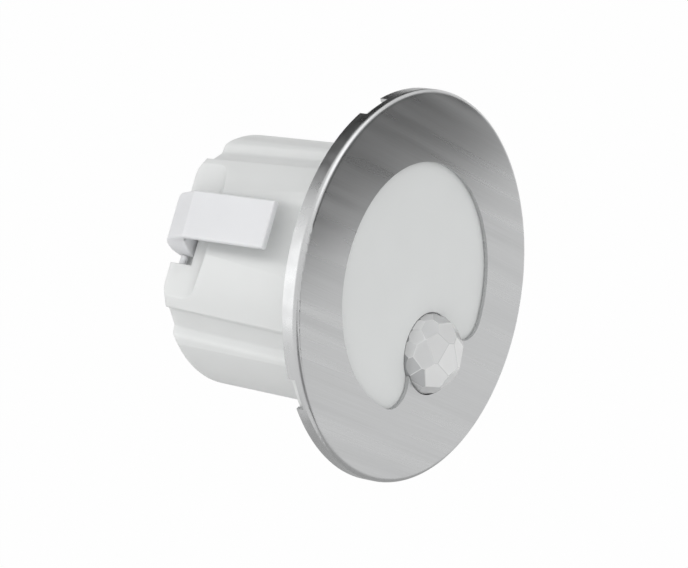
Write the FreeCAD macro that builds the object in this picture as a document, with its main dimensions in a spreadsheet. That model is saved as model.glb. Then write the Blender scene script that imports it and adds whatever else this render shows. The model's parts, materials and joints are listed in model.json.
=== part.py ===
import FreeCAD, Part
import math
import os
import re
import Sketcher

# Recessed round step light with a motion sensor, in millimetres, +Z up.
# The light faces -Y, the wall plane is y = 0, and the housing runs back into the wall along +Y.

SIZES = {
    # Trim bezel: a pressed steel cap with a turned rim.
    "bezel_radius": 40.0,
    "bezel_depth": 3.5,
    "bezel_sheet": 0.8,
    "bezel_edge": 1.05,
    "bezel_inner_edge": 0.25,
    "opening_radius": 25.43,
    "horn_radius": 5.6,
    "horn_overlap": 0.24,
    "pry_spread": 47.7,
    "pry_slot_width": 7.0,
    "pry_slot_depth": 1.75,
    "rim_gap": 0.3,
    "plate_gap": 0.1,
    # Opal diffuser behind the bezel.
    "diffuser_recess": 1.0,
    "diffuser_thickness": 1.6,
    "diffuser_lap": 1.6,
    "diffuser_gap": 0.2,
    # Faceted lens of the motion sensor, below the centre.
    "lens_offset": 15.8,
    "lens_radius": 8.2,
    "lens_wall": 0.8,
    "lens_gap": 0.3,
    "lens_flange": 1.2,
    "lens_flange_thickness": 1.0,
    "apex_facets": 3,
    "apex_facet_tilt": 21.0,
    "middle_facets": 6,
    "middle_facet_tilt": 53.0,
    "outer_facets": 12,
    "outer_facet_tilt": 78.0,
    # Housing: a moulded cup with a front flange.
    "housing_depth": 41.8,
    "housing_front_radius": 27.2,
    "housing_rear_radius": 26.35,
    "housing_rear_round": 1.5,
    "housing_wall": 3.0,
    "rear_wall": 1.8,
    "flange_relief_width": 1.6,
    "flange_relief_depth": 0.4,
    "flute_floor": 4.4,
    "flute_width": 7.2,
    "flute_depth": 2.0,
    "flute_lip": 0.45,
    "flute_lip_slope": 8.0,
    "flute_floor_round": 1.0,
    "flute_lip_round": 1.5,
    "flute_spread": 48.6,
    "flute_skew": 2.25,
    "flute_wall": 1.2,
    # Spring clips, one on each side, and their seats in the housing.
    "clip_turn": 44.2,
    "clip_offset": 1.8,
    "clip_width": 9.9,
    "clip_thickness": 1.7,
    "clip_length": 27.9,
    "clip_tip_radius": 30.7,
    "clip_heel_radius": 29.2,
    "clip_heel_inset": 0.2,
    "clip_bend": 6.0,
    "clip_corner": 4.2,
    "clip_tip_round": 0.8,
    "trunnion_radius": 0.8,
    "trunnion_length": 1.8,
    "trunnion_place": 20.5,
    "trunnion_inset": 1.6,
    "trunnion_gap": 0.05,
    "trunnion_cover": 0.85,
    "seat_depth": 3.6,
    "seat_width": 13.2,
    "seat_slope": 27.8,
    "seat_round": 10.5,
    "seat_lip_fall": 6.0,
    "seat_lip_round": 3.0,
    "seat_wall": 1.0,
    "heel_pocket_gap": 0.3,
    "heel_pocket_side_gap": 0.5,
    "heel_pocket_depth": 5.4,
    "heel_pocket_wall": 1.2,
    "scoop_length": 7.4,
    "scoop_ramp": 1.0,
    "scoop_round": 5.0,
    # Boards.
    "board_thickness": 1.6,
    "board_gap": 0.3,
    "led_seat": 7.0,
    "driver_room": 14.0,
    "screw_radius": 1.0,
    "screw_length": 5.0,
    "screw_head_radius": 1.8,
    "screw_head_height": 1.4,
    "screw_gap": 0.1,
    "led_screw_spread": 5.5,
    "led_screw_inset": 2.6,
    "post_radius": 2.2,
    "post_x": 11.5,
    "post_z": 11.0,
    "foot_post_z": 13.5,
    # Parts on the LED board.
    "leds": 9,
    "led_width": 3.0,
    "led_height": 0.7,
    "led_ring": 17.0,
    "led_first_angle": -20.0,
    "led_step_angle": 27.5,
    "dusk_radius": 1.5,
    "dusk_height": 2.0,
    "dusk_z": 4.0,
    "shroud_wall": 1.1,
    "shroud_radius": 8.0,
    "can_radius": 4.1,
    "can_height": 4.0,
    "can_flange_radius": 4.6,
    "can_flange_thickness": 0.6,
    "can_lead_radius": 0.25,
    "can_lead_ring": 2.5,
    "can_lead_length": 4.0,
    "can_lead_gap": 0.1,
    "window_width": 4.0,
    "window_height": 3.0,
    "window_thickness": 0.4,
    "window_gap": 0.1,
    # Link between the boards.
    "pins": 4,
    "pin_pitch": 2.54,
    "pin_radius": 0.4,
    "pin_gap": 0.05,
    "strip_width": 2.5,
    "strip_height": 2.5,
    "strip_x": 0.0,
    "strip_z": -5.0,
    # Supply terminal with two push-in ways.
    "terminal_width": 12.0,
    "terminal_height": 9.0,
    "terminal_z": 5.5,
    "terminal_recess": 1.0,
    "terminal_gap": 0.3,
    "way_pitch": 5.6,
    "wire_radius": 1.4,
    "wire_depth": 8.0,
    "wire_drop": 2.0,
    "button_width": 2.4,
    "button_height": 2.0,
    "button_rise": 2.2,
    "button_length": 3.8,
    "button_proud": 0.6,
    "button_gap": 0.1,
    "button_well": 5.4,
    "contact_width": 3.0,
    "contact_thickness": 1.0,
    "contact_length": 5.4,
    # Driver parts.
    "capacitor_radius": 4.0,
    "capacitor_height": 11.5,
    "choke_radius": 4.0,
    "choke_waist": 2.6,
    "choke_lip": 1.4,
    "choke_height": 10.0,
    "wound_x": 10.5,
    "wound_z": -6.0,
    "film_width": 13.0,
    "film_thickness": 5.0,
    "film_height": 11.0,
    "film_z": 8.0,
    "varistor_radius": 3.5,
    "varistor_thickness": 3.2,
    "varistor_z": -5.0,
    "rectifier_width": 6.5,
    "rectifier_height": 5.0,
    "rectifier_thickness": 2.5,
    "chip_width": 5.0,
    "chip_height": 4.0,
    "chip_thickness": 1.5,
    "chip_x": 10.0,
    "chip_z": 4.5,
    "resistor_radius": 1.7,
    "resistor_length": 9.0,
    "resistor_z": 13.5,
}

# Places that several pieces share, worked out from the sizes. Depths are along +Y from the wall plane.
BEZEL_BACK = "(bezel_sheet - bezel_depth)"
FLANGE_FRONT = f"({BEZEL_BACK} + plate_gap)"
FLANGE_RADIUS = "(bezel_radius - bezel_sheet - rim_gap)"
HORN_REACH = "(opening_radius - horn_radius)"
HORN_SPAN = "(lens_radius + lens_gap + horn_radius - horn_overlap)"
HORN_PLACE = f"(({HORN_SPAN}^2 - {HORN_REACH}^2 - lens_offset^2) / (2 * lens_offset))"
DIFFUSER_FRONT = "(diffuser_recess - bezel_depth)"
DIFFUSER_BACK = f"({DIFFUSER_FRONT} + diffuser_thickness)"
DIFFUSER_RADIUS = "(opening_radius + diffuser_lap)"
CAVITY_RADIUS = "(housing_front_radius - housing_wall)"
DRIVER_ROOM_RADIUS = "(housing_rear_radius - flute_depth - flute_wall)"
CAVITY_FLOOR = "(housing_depth - rear_wall)"
POCKET_FLOOR = "(trunnion_place - trunnion_radius - heel_pocket_gap)"
CAVITY_FLAT = f"({POCKET_FLOOR} - heel_pocket_wall)"
CLIP_HEEL = "(housing_depth - clip_heel_inset)"
CLIP_TIP = f"({CLIP_HEEL} - clip_length)"
SEAT_TURN = "(clip_turn - asin(clip_offset / housing_front_radius) / 1 deg)"
SEAT_FLOOR = "(housing_front_radius - seat_depth)"
LED_ROOM_FLAT = f"({SEAT_FLOOR} - seat_wall)"
POCKET_FRONT = "(housing_depth - heel_pocket_depth)"
TRUNNION_DEPTH = f"({CLIP_HEEL} - trunnion_inset)"
SCOOP_FRONT = "(housing_depth - scoop_length)"
SCOOP_FLOOR = "(trunnion_place + trunnion_radius + trunnion_gap + trunnion_cover)"
POCKET_HALF_WIDTH = "(clip_offset + clip_width / 2 + heel_pocket_side_gap)"
LED_BOARD_FRONT = "(led_seat - board_thickness)"
LED_BOARD_RADIUS = f"({CAVITY_RADIUS} - board_gap)"
LED_SCREW_PLACE = f"({CAVITY_FLAT} + led_screw_inset)"
DRIVER_SEAT = f"({CAVITY_FLOOR} - driver_room)"
DRIVER_BOARD_FRONT = f"({DRIVER_SEAT} - board_thickness)"
DRIVER_BOARD_RADIUS = f"({CAVITY_FLAT} - board_gap)"
LENS_BACK = f"({DIFFUSER_BACK} + lens_flange_thickness)"
TERMINAL_REAR = "(housing_depth - terminal_recess)"
CLIP_SLOPE = "((clip_tip_radius - clip_heel_radius) / clip_length)"
BEYOND = "(bezel_radius)"

document = FreeCAD.newDocument("StepLight")
sheet = document.addObject("Spreadsheet::Sheet", "Sizes")
for row, (alias, number) in enumerate(SIZES.items(), start=1):
    sheet.set(f"A{row}", alias)
    sheet.set(f"B{row}", str(number))
    sheet.setAlias(f"B{row}", alias)
document.recompute()

nodes = []


def bound(text):
    """The expression with each size's name turned into its cell."""
    return re.sub(r"[a-z]\w*", lambda word: f"Sizes.{word[0]}" if word[0] in SIZES else word[0], text)


def value(text):
    return float(sheet.evalExpression(bound(text)))


def bind(thing, path, text):
    thing.setExpression(path, bound(text))


def node(thing, label):
    thing.Label = label
    nodes.append(thing)
    return thing


def new_body(label):
    return node(document.addObject("PartDesign::Body", label), label)


def origin_feature(body, role):
    return next(item for item in body.Origin.OriginFeatures if item.Role == role)


def new_sketch(body, role, name, axis=(0, 0, 1), turn="0", shift=("0", "0", "0")):
    """A sketch on one of the body's own planes, turned about one of the sketch's axes and shifted."""
    sketch = body.newObject("Sketcher::SketchObject", f"{body.Name}_{name}")
    sketch.AttachmentSupport = [(origin_feature(body, role), "")]
    sketch.MapMode = "FlatFace"
    sketch.AttachmentOffset = FreeCAD.Placement(FreeCAD.Vector(), FreeCAD.Rotation(FreeCAD.Vector(*axis), 0))
    bind(sketch, "AttachmentOffset.Rotation.Angle", f"({turn}) * 1 deg")
    for letter, text in zip("xyz", shift):
        bind(sketch, f"AttachmentOffset.Base.{letter}", text)
    return sketch


def cross_sketch(body, name, depth="0", turn="0"):
    """A sketch across the light's axis at a depth: its x is +X, its y is +Z, seen from the front."""
    return new_sketch(body, "XZ_Plane", name, turn=turn, shift=("0", "0", f"-({depth})"))


def clip_sketch(body, name):
    """A sketch in the plane of the axis and the upper clip: its x is +Y, its y points out to the clip."""
    return new_sketch(body, "YZ_Plane", name, axis=(1, 0, 0), turn="-clip_turn")


def place_point(sketch, edge, position, x, y):
    for kind, text in (("DistanceX", x), ("DistanceY", y)):
        index = sketch.addConstraint(Sketcher.Constraint(kind, -1, 1, edge, position, value(text)))
        bind(sketch, f"Constraints[{index}]", text)


def set_radius(sketch, edge, radius):
    index = sketch.addConstraint(Sketcher.Constraint("Radius", edge, value(radius)))
    bind(sketch, f"Constraints[{index}]", radius)


def polygon(sketch, corners):
    """A closed outline of straight edges through corners given as expressions (x, y), or (x, y, radius)
    to round one."""
    points = [FreeCAD.Vector(value(x), value(y), 0) for x, y, *_ in corners]
    count = len(points)
    bends = [corner_bend(points, here, value(radius[0])) if radius else None
             for here, (_, _, *radius) in enumerate(corners)]
    first = sketch.GeometryCount
    for here in range(count):
        after = (here + 1) % count
        start = bends[here]["exit"] if bends[here] else points[here]
        end = bends[after]["entry"] if bends[after] else points[after]
        sketch.addGeometry(Part.LineSegment(start, end))
    for here, (x, y, *radius) in enumerate(corners):
        before, after = first + (here - 1) % count, first + here
        if radius:
            round_corner(sketch, before, after, bends[here], (x, y, radius[0]))
        else:
            sketch.addConstraint(Sketcher.Constraint("Coincident", before, 2, after, 1))
            place_point(sketch, after, 1, x, y)


def corner_bend(points, here, radius):
    """Where an arc that rounds a corner starts, ends and has its centre, and whether it turns left."""
    corner = points[here]
    come = (points[here - 1] - corner).normalize()
    go = (points[(here + 1) % len(points)] - corner).normalize()
    half = come.getAngle(go) / 2
    reach = radius / math.tan(half)
    middle = (come + go).normalize()
    return {"corner": corner, "entry": corner + come * reach, "exit": corner + go * reach,
            "centre": corner + middle * (radius / math.sin(half)), "left": come.cross(go).z < 0}


def round_corner(sketch, before, after, bend, place):
    """The arc between two edges of an outline, with the sharp corner kept as a construction point."""
    x, y, radius = place
    start, end = (bend["entry"], bend["exit"]) if bend["left"] else (bend["exit"], bend["entry"])
    angles = [math.atan2(point.y - bend["centre"].y, point.x - bend["centre"].x) for point in (start, end)]
    edge = arc(sketch, (bend["centre"].x, bend["centre"].y), radius, *angles)
    entry, leave = (1, 2) if bend["left"] else (2, 1)
    sketch.addConstraint(Sketcher.Constraint("Tangent", before, 2, edge, entry))
    sketch.addConstraint(Sketcher.Constraint("Tangent", edge, leave, after, 1))
    point = sketch.addGeometry(Part.Point(bend["corner"]), True)
    for line in (before, after):
        sketch.addConstraint(Sketcher.Constraint("PointOnObject", point, 1, line))
    place_point(sketch, point, 1, x, y)


def rectangle(sketch, left, right, low, high):
    polygon(sketch, [(left, low), (right, low), (right, high), (left, high)])


def circle(sketch, x, y, radius):
    centre = FreeCAD.Vector(value(x), value(y), 0)
    edge = sketch.addGeometry(Part.Circle(centre, FreeCAD.Vector(0, 0, 1), value(radius)))
    place_point(sketch, edge, 3, x, y)
    set_radius(sketch, edge, radius)


def arc(sketch, centre, radius, start, end):
    """An arc, counter-clockwise from start to end, with its radius bound."""
    ring = Part.Circle(FreeCAD.Vector(*centre, 0), FreeCAD.Vector(0, 0, 1), value(radius))
    edge = sketch.addGeometry(Part.ArcOfCircle(ring, start, end))
    set_radius(sketch, edge, radius)
    return edge


def extrude(body, kind, sketch, length=None, reverse=False, both=False):
    """A Pad or Pocket. From a cross sketch a pad goes to the front and a pocket to the rear."""
    feature = body.newObject(f"PartDesign::{kind}", f"{sketch.Name}_{kind}")
    feature.Profile = sketch
    feature.Reversed = reverse
    if both:
        feature.SideType = "Symmetric"
    if length is None:
        feature.Type = "ThroughAll"
    else:
        bind(feature, "Length", length)
    body.Tip = feature
    return feature


def turned(body, kind, sketch):
    """A Revolution or Groove about the sketch's own upright axis."""
    feature = body.newObject(f"PartDesign::{kind}", f"{sketch.Name}_{kind}")
    feature.Profile = sketch
    feature.ReferenceAxis = (sketch, ["V_Axis"])
    feature.Angle = 360
    body.Tip = feature
    return feature


def around_axis(body, originals, count):
    """Copies of features, evenly spaced about the body's Y axis."""
    pattern = body.newObject("PartDesign::PolarPattern", f"{originals[0].Name}_pattern")
    pattern.Originals = originals
    pattern.Axis = (origin_feature(body, "Y_Axis"), [""])
    pattern.Angle = 360
    bind(pattern, "Occurrences", count)
    body.Tip = pattern
    return pattern


def round_edges(body, radius, chosen):
    """Rounds the edges of the body so far that the test picks."""
    document.recompute()
    base = body.Tip
    picked = [f"Edge{index}" for index, edge in enumerate(base.Shape.Edges, start=1) if chosen(edge)]
    fillet = body.newObject("PartDesign::Fillet", f"{base.Name}_round")
    fillet.Base = (base, picked)
    bind(fillet, "Radius", radius)
    body.Tip = fillet


def is_ring(radius, depth):
    """A test for a circular edge of that radius, about the Y axis, at that depth."""
    wanted_radius, wanted_depth = value(radius), value(depth)

    def test(edge):
        curve = edge.Curve
        return (isinstance(curve, Part.Circle) and math.isclose(curve.Radius, wanted_radius, abs_tol=1e-4)
                and math.isclose(curve.Center.y, wanted_depth, abs_tol=1e-4))
    return test


def block(name, x, z, depth, width, height, length):
    """A box centred on x and z that starts at a depth and runs to the rear."""
    box = document.addObject("Part::Box", name)
    for path, text in (("Length", width), ("Width", length), ("Height", height),
                       ("Placement.Base.x", f"({x}) - ({width}) / 2"), ("Placement.Base.y", depth),
                       ("Placement.Base.z", f"({z}) - ({height}) / 2")):
        bind(box, path, text)
    return box


def rod(name, x, z, depth, radius, length, axis=(1, 0, 0), turn=-90):
    """A cylinder that starts at a depth and runs to the rear, unless it is turned another way."""
    cylinder = document.addObject("Part::Cylinder", name)
    cylinder.Placement = FreeCAD.Placement(FreeCAD.Vector(), FreeCAD.Rotation(FreeCAD.Vector(*axis), turn))
    for path, text in (("Radius", radius), ("Height", length), ("Placement.Base.x", x),
                       ("Placement.Base.y", depth), ("Placement.Base.z", z)):
        bind(cylinder, path, text)
    return cylinder


def group(label, members):
    compound = document.addObject("Part::Compound", label)
    compound.Links = members
    return node(compound, label)


def diagonal_turns(spread):
    """Turns, from twelve o'clock, of the marks that lie evenly about the diagonal on the upper left."""
    return [("upper", f"45 - {spread}"), ("left", f"45 + {spread}")]


def draw_opening(sketch):
    """The bezel's opening: a round window whose lower edge closes in on the lens in two horns."""
    horn, ring, offset = value("horn_radius"), value("lens_radius + lens_gap"), value("lens_offset")
    reach, span = value(HORN_REACH), value(HORN_SPAN)
    horn_z = value(HORN_PLACE)
    horn_x = math.sqrt(reach ** 2 - horn_z ** 2)
    turn = math.atan2(horn_x, -horn_z)
    along = (span ** 2 + ring ** 2 - horn ** 2) / (2 * span)
    aside = math.sqrt(ring ** 2 - along ** 2)
    toward = (horn_x / span, (horn_z + offset) / span)
    tip_x = along * toward[0] + aside * toward[1]
    tip_z = along * toward[1] - aside * toward[0] - offset
    window_start = turn - math.pi / 2
    lens_end = math.atan2(tip_z + offset, tip_x)
    horn_start = math.atan2(tip_z - horn_z, tip_x - horn_x)
    window = arc(sketch, (0, 0), "opening_radius", window_start, math.pi - window_start)
    left = arc(sketch, (-horn_x, horn_z), "horn_radius", math.pi - window_start, 3 * math.pi - horn_start)
    tongue = arc(sketch, (0, -offset), "lens_radius + lens_gap", math.pi - lens_end, 2 * math.pi + lens_end)
    right = arc(sketch, (horn_x, horn_z), "horn_radius", horn_start, window_start)
    place_point(sketch, window, 3, "0", "0")
    place_point(sketch, tongue, 3, "0", "-lens_offset")
    for before, after in ((window, left), (right, window)):
        sketch.addConstraint(Sketcher.Constraint("Tangent", before, 2, after, 1))
    for before, after in ((left, tongue), (tongue, right)):
        sketch.addConstraint(Sketcher.Constraint("Coincident", before, 2, after, 1))
    for edge in (left, right):
        index = sketch.addConstraint(Sketcher.Constraint("DistanceY", -1, 1, edge, 3, horn_z))
        bind(sketch, f"Constraints[{index}]", HORN_PLACE)


def trim_bezel():
    body = new_body("trim_bezel")
    section = new_sketch(body, "XY_Plane", "section")
    inner = "(bezel_radius - bezel_sheet)"
    polygon(section, [("0", "-bezel_depth"), ("bezel_radius", "-bezel_depth"), ("bezel_radius", "0"),
                      (inner, "0"), (inner, BEZEL_BACK), ("0", BEZEL_BACK)])
    turned(body, "Revolution", section)
    round_edges(body, "bezel_edge", is_ring("bezel_radius", "-bezel_depth"))
    round_edges(body, "bezel_inner_edge", is_ring(inner, BEZEL_BACK))
    opening = cross_sketch(body, "opening", BEZEL_BACK)
    draw_opening(opening)
    extrude(body, "Pocket", opening, reverse=True)
    cuts = []
    for side, turn in diagonal_turns("pry_spread"):
        slot = cross_sketch(body, f"pry_slot_{side}", turn=turn)
        rectangle(slot, "-pry_slot_width / 2", "pry_slot_width / 2", "bezel_radius - 2 * bezel_sheet",
                  "bezel_radius + bezel_sheet")
        cuts.append(extrude(body, "Pocket", slot, "pry_slot_depth", reverse=True))
    around_axis(body, cuts, "2")


def diffuser():
    body = new_body("diffuser")
    plate = cross_sketch(body, "plate", DIFFUSER_BACK)
    circle(plate, "0", "0", DIFFUSER_RADIUS)
    circle(plate, "0", "-lens_offset", "lens_radius + lens_gap")
    extrude(body, "Pad", plate, "diffuser_thickness")


def facet_ring(body, name, tilt, count):
    """Flats on the dome, square to lines through its centre at one tilt from its axis, up if positive."""
    flat = new_sketch(body, "YZ_Plane", name, turn=f"-({tilt})", shift=(DIFFUSER_BACK, "0", "0"))
    rectangle(flat, "-3 * lens_radius", "-lens_radius", "-2 * lens_radius", "2 * lens_radius")
    around_axis(body, [extrude(body, "Pocket", flat, both=True)], count)


def pir_lens():
    """A hollow dome of flats round its centre, with a flange behind the diffuser."""
    body = new_body("pir_lens")
    bind(body, "Placement.Base.z", "-lens_offset")
    section = new_sketch(body, "XY_Plane", "section")
    flange = "(lens_radius + lens_flange)"
    apex = f"({DIFFUSER_BACK} - lens_radius / cos(apex_facet_tilt * 1 deg))"
    polygon(section, [("0", apex), ("lens_radius", apex), ("lens_radius", DIFFUSER_BACK),
                      (flange, DIFFUSER_BACK), (flange, LENS_BACK), ("0", LENS_BACK)])
    turned(body, "Revolution", section)
    facet_ring(body, "apex_facet", "-apex_facet_tilt", "apex_facets")
    facet_ring(body, "middle_facet", "middle_facet_tilt", "middle_facets")
    facet_ring(body, "outer_facet", "outer_facet_tilt", "outer_facets")
    hollow = new_sketch(body, "XY_Plane", "hollow")
    inside = "(lens_radius - lens_wall)"
    depth, radius, back = value(DIFFUSER_BACK), value(inside), value(LENS_BACK)
    vault = arc(hollow, (0, depth), inside, -math.pi / 2, 0)
    corners = [(radius, depth), (radius, back), (0, back), (0, depth - radius)]
    for start, end in zip(corners, corners[1:]):
        hollow.addGeometry(Part.LineSegment(FreeCAD.Vector(*start, 0), FreeCAD.Vector(*end, 0)))
    place_point(hollow, vault, 3, "0", DIFFUSER_BACK)
    wall, floor, axis = vault + 1, vault + 2, vault + 3
    for before, after in ((vault, wall), (wall, floor), (floor, axis), (axis, vault)):
        hollow.addConstraint(Sketcher.Constraint("Coincident", before, 2, after, 1))
    hollow.addConstraint(Sketcher.Constraint("Horizontal", vault, 3, vault, 2))
    hollow.addConstraint(Sketcher.Constraint("PointOnObject", vault, 1, -2))
    place_point(hollow, floor, 1, inside, LENS_BACK)
    place_point(hollow, axis, 1, "0", LENS_BACK)
    turned(body, "Groove", hollow)
    trim = cross_sketch(body, "flange_trim", LENS_BACK)
    circle(trim, "0", "lens_offset", BEYOND)
    circle(trim, "0", "lens_offset", f"{CAVITY_RADIUS} - lens_gap / 2")
    extrude(body, "Pocket", trim, "lens_flange_thickness", reverse=True)


def relief_roof(half_width, eave):
    """The outer edge of a cutting section: it clears the cup's round and stays in the flange's relief."""
    return [(half_width, eave), ("0", "housing_front_radius + 0.9 * flange_relief_width"),
            (f"-{half_width}", eave)]


def draw_flute(sketch):
    """A flute's section: a flat floor, sloping walls and lips that lead out of the cup's round."""
    floor, lip = "(housing_front_radius - flute_depth)", "(housing_front_radius - flute_lip)"
    outside = f"({lip} + flute_width / 2 * tan(flute_lip_slope * 1 deg))"
    polygon(sketch, [("-flute_floor / 2", floor, "flute_floor_round"),
                     ("flute_floor / 2", floor, "flute_floor_round"),
                     ("flute_width / 2", lip, "flute_lip_round"), ("flute_width", outside),
                     *relief_roof("flute_width", f"{outside} + flange_relief_width / 5"),
                     ("-flute_width", outside), ("-flute_width / 2", lip, "flute_lip_round")])


def flutes(body):
    """Soft-edged grooves along the cup, which lean towards the clip's side as they follow the draft."""
    draft = "((housing_front_radius - housing_rear_radius) / housing_depth)"
    lean = "tan(flute_skew * 1 deg)"
    slants = {"upper": (f"-{lean}", f"-{draft}"), "left": (draft, lean)}
    cuts = []
    for side, turn in diagonal_turns("flute_spread"):
        groove = cross_sketch(body, f"flute_{side}", "-flange_relief_depth", turn)
        draw_flute(groove)
        cut = extrude(body, "Pocket", groove, "2 * housing_depth")
        cut.UseCustomVector = True
        cut.Direction = FreeCAD.Vector(0, 1, 0)
        for letter, text in zip("xz", slants[side]):
            bind(cut, f"Direction.{letter}", text)
        cuts.append(cut)
    around_axis(body, cuts, "2")


def draw_trough(sketch):
    """The trough's section under a clip: a wide round floor with lips that lead out of the cup's round."""
    root = f"({SEAT_FLOOR} - seat_round * (1 / cos(seat_slope * 1 deg) - 1))"
    lip = f"({root} + seat_width / 2 * tan(seat_slope * 1 deg))"
    outside = f"({lip} - seat_width / 2 * tan(seat_lip_fall * 1 deg))"
    polygon(sketch, [("0", root, "seat_round"), ("seat_width / 2", lip, "seat_lip_round"),
                     ("seat_width", outside),
                     *relief_roof("seat_width", f"{outside} + flange_relief_width / 5"),
                     ("-seat_width", outside), ("-seat_width / 2", lip, "seat_lip_round")])


def clip_seat(body):
    """The recesses round the upper clip, repeated for the lower one by half a turn."""
    trough = cross_sketch(body, "clip_trough", "-flange_relief_depth", turn=SEAT_TURN)
    draw_trough(trough)
    pocket = cross_sketch(body, "heel_pocket", POCKET_FRONT, turn="clip_turn")
    rectangle(pocket, f"-{POCKET_HALF_WIDTH}", POCKET_HALF_WIDTH, POCKET_FLOOR, BEYOND)
    scoop = clip_sketch(body, "scoop")
    rise = f"(housing_front_radius - {SCOOP_FLOOR})"
    polygon(scoop, [("housing_depth", SCOOP_FLOOR), ("housing_depth", "housing_front_radius"),
                    (f"{SCOOP_FRONT} - scoop_ramp * {rise}", "housing_front_radius"),
                    (SCOOP_FRONT, SCOOP_FLOOR, "scoop_round")])
    bore = clip_sketch(body, "trunnion_bore")
    circle(bore, TRUNNION_DEPTH, "trunnion_place", "trunnion_radius + trunnion_gap")
    bore_length = f"2 * ({POCKET_HALF_WIDTH} + trunnion_length)"
    cuts = [extrude(body, "Pocket", trough),
            extrude(body, "Pocket", pocket),
            extrude(body, "Pocket", scoop, both=True),
            extrude(body, "Pocket", bore, bore_length, both=True)]
    around_axis(body, cuts, "2")


def flat_sided(sketch, radius, flat):
    """A round outline about the axis with a flat on each clip's side."""
    round_reach, flat_reach = value(radius), value(flat)
    side = math.sqrt(round_reach ** 2 - flat_reach ** 2)
    corner = math.atan2(flat_reach, side)
    right = arc(sketch, (0, 0), radius, -corner, corner)
    top = sketch.addGeometry(Part.LineSegment(FreeCAD.Vector(side, flat_reach, 0),
                                              FreeCAD.Vector(-side, flat_reach, 0)))
    left = arc(sketch, (0, 0), radius, math.pi - corner, math.pi + corner)
    low = sketch.addGeometry(Part.LineSegment(FreeCAD.Vector(-side, -flat_reach, 0),
                                              FreeCAD.Vector(side, -flat_reach, 0)))
    loop = (right, top, left, low)
    for before, after in zip(loop, loop[1:] + loop[:1]):
        sketch.addConstraint(Sketcher.Constraint("Coincident", before, 2, after, 1))
    for edge in (right, left):
        place_point(sketch, edge, 3, "0", "0")
    for edge, text in ((top, flat), (low, f"-{flat}")):
        sketch.addConstraint(Sketcher.Constraint("Horizontal", edge))
        index = sketch.addConstraint(Sketcher.Constraint("DistanceY", -1, 1, edge, 1, value(text)))
        bind(sketch, f"Constraints[{index}]", text)


def rooms(body):
    """The hollows for the LED board and, behind its ledge, for the driver."""
    for name, radius, flat, front, back in (
            ("led_room", CAVITY_RADIUS, LED_ROOM_FLAT, DIFFUSER_BACK, "led_seat"),
            ("driver_hollow", DRIVER_ROOM_RADIUS, CAVITY_FLAT, "led_seat", CAVITY_FLOOR)):
        room = cross_sketch(body, name, front, turn="clip_turn")
        flat_sided(room, radius, flat)
        extrude(body, "Pocket", room, f"{back} - {front}")


def driver_posts():
    """Places of the two screwed posts and the foot post that carry the driver board."""
    return [("-post_x", "post_z"), ("post_x", "post_z"), ("0", "-foot_post_z")]


def led_screw_places():
    """Places of the LED board's screws, in the sketch that is turned with the clips."""
    return [(f"{x} * led_screw_spread", f"{z} * {LED_SCREW_PLACE}") for x in ("-1", "1") for z in ("-1", "1")]


def housing():
    body = new_body("housing")
    section = new_sketch(body, "XY_Plane", "section")
    relief = "(housing_front_radius + flange_relief_width)"
    polygon(section, [("0", FLANGE_FRONT), (FLANGE_RADIUS, FLANGE_FRONT), (FLANGE_RADIUS, "0"), (relief, "0"),
                      (relief, "-flange_relief_depth"), ("housing_front_radius", "-flange_relief_depth"),
                      ("housing_rear_radius", "housing_depth"), ("0", "housing_depth")])
    turned(body, "Revolution", section)
    round_edges(body, "housing_rear_round", is_ring("housing_rear_radius", "housing_depth"))
    flutes(body)
    clip_seat(body)
    mouth = new_sketch(body, "XY_Plane", "mouth")
    bore = f"({DIFFUSER_RADIUS} + diffuser_gap)"
    polygon(mouth, [("0", FLANGE_FRONT), (bore, FLANGE_FRONT), (bore, DIFFUSER_BACK), ("0", DIFFUSER_BACK)])
    turned(body, "Groove", mouth)
    rooms(body)
    posts = cross_sketch(body, "posts", CAVITY_FLOOR)
    for x, z in driver_posts():
        circle(posts, x, z, "post_radius")
    extrude(body, "Pad", posts, "driver_room")
    pilot = "screw_radius + screw_gap"
    post_holes = cross_sketch(body, "post_holes", DRIVER_SEAT)
    for x, z in driver_posts()[:2]:
        circle(post_holes, x, z, pilot)
    extrude(body, "Pocket", post_holes, "screw_length")
    ledge_holes = cross_sketch(body, "ledge_holes", "led_seat", turn="clip_turn")
    for x, z in led_screw_places():
        circle(ledge_holes, x, z, pilot)
    extrude(body, "Pocket", ledge_holes, "screw_length")
    window = cross_sketch(body, "terminal_window", CAVITY_FLOOR)
    half_width, half_height = "(terminal_width / 2 + terminal_gap)", "(terminal_height / 2 + terminal_gap)"
    rectangle(window, f"-{half_width}", half_width,
              f"terminal_z - {half_height}", f"terminal_z + {half_height}")
    extrude(body, "Pocket", window)


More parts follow.
